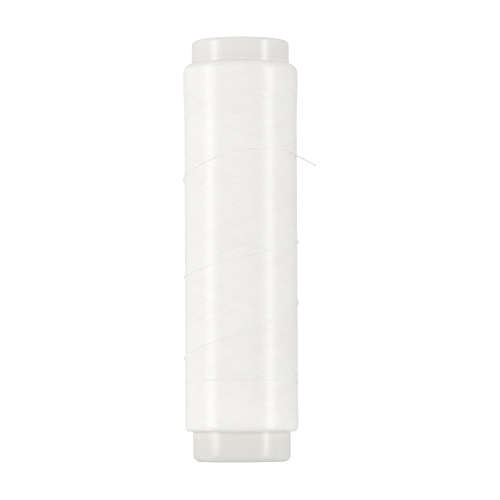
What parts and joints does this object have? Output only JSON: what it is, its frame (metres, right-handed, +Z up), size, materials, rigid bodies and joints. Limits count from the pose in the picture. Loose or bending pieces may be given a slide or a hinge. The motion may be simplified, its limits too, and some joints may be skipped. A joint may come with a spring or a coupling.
{
  "type": "fishing line spool",
  "caption": "Straight tube core cross-wound with clear monofilament fishing line, with bare rims at both ends and a short free tail.",
  "frame": {"origin": "centre of the tube's lower end, on the surface that the spool stands on", "axes": "+Z up along the tube's axis, -Y the front, +X the side where the line's tail stands off"},
  "size_m": [0.0245, 0.021, 0.0778],
  "materials": {
    "tube": "satin",
    "line": "gloss"
  },
  "bodies": {
    "root": {"core_tube": "tube", "line_start": "line", "wound_line": "line", "level_turns": "line", "rising_turns": "line", "line_tail": "line"}
  },
  "joints": []
}
